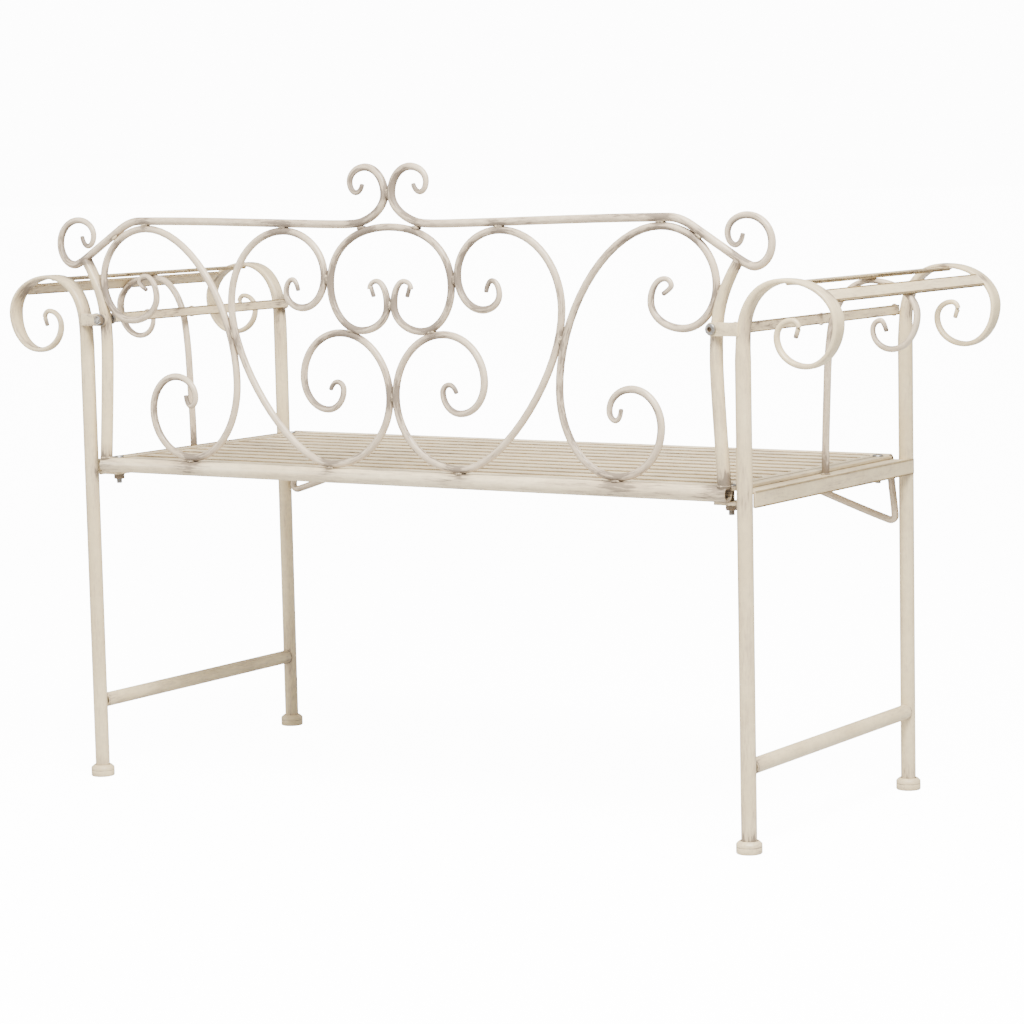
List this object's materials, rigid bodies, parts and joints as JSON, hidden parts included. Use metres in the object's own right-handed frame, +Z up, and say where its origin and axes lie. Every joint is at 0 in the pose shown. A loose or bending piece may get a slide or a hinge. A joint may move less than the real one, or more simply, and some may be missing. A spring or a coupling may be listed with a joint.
{
  "type": "garden bench",
  "caption": "Painted wrought steel two-seat garden bench with a slatted seat, scrolled arms and an open scroll-work backrest.",
  "frame": {"origin": "on the ground under the middle of the bench", "axes": "+X along the bench to the sitter's left, +Y from the seat's front towards the backrest, +Z up"},
  "size_m": [1.318, 0.4775, 0.857],
  "materials": {
    "antique_paint": "satin antique white, rubbed brown on edges and welds",
    "zinc": "dull zinc plate, weathered"
  },
  "bodies": {
    "root": {"rear_leg_left": "antique_paint", "rear_leg_right": "antique_paint", "front_leg_left": "antique_paint", "front_leg_right": "antique_paint", "foot_rear_left": "antique_paint", "foot_rear_right": "antique_paint", "foot_front_left": "antique_paint", "foot_front_right": "antique_paint", "middle_scroll_left": "antique_paint", "middle_scroll_right": "antique_paint", "stretcher_left": "antique_paint", "stretcher_right": "antique_paint", "side_rail_left": "antique_paint", "side_rail_right": "antique_paint", "inner_strip_left": "antique_paint", "inner_strip_right": "antique_paint", "top_strip_left": "antique_paint", "top_strip_right": "antique_paint", "outer_strip_left": "antique_paint", "outer_strip_right": "antique_paint", "back_bracket_left": "antique_paint", "back_bracket_right": "antique_paint", "seat_lug_rear_left": "antique_paint", "seat_lug_rear_right": "antique_paint", "seat_lug_front_left": "antique_paint", "seat_lug_front_right": "antique_paint", "seat_rail_rear": "antique_paint", "seat_rail_front": "antique_paint", "seat_side_bar_left": "antique_paint", "seat_side_bar_right": "antique_paint", "cross_bar_left": "antique_paint", "cross_bar_right": "antique_paint", "knee_brace_left": "antique_paint", "knee_brace_right": "antique_paint", "slat_1": "antique_paint", "slat_2": "antique_paint", "slat_3": "antique_paint", "slat_4": "antique_paint", "slat_5": "antique_paint", "slat_6": "antique_paint", "slat_7": "antique_paint", "slat_8": "antique_paint", "slat_9": "antique_paint", "slat_10": "antique_paint", "slat_11": "antique_paint", "upright_left": "antique_paint", "upright_right": "antique_paint", "top_rail_left": "antique_paint", "top_rail_right": "antique_paint", "centre_ring": "antique_paint", "inner_scroll_left": "antique_paint", "inner_scroll_right": "antique_paint", "outer_scroll_left": "antique_paint", "outer_scroll_right": "antique_paint", "back_bolts": "zinc", "back_nuts": "zinc", "seat_bolts": "zinc", "seat_nuts": "zinc", "seat_washers": "zinc"}
  },
  "joints": []
}
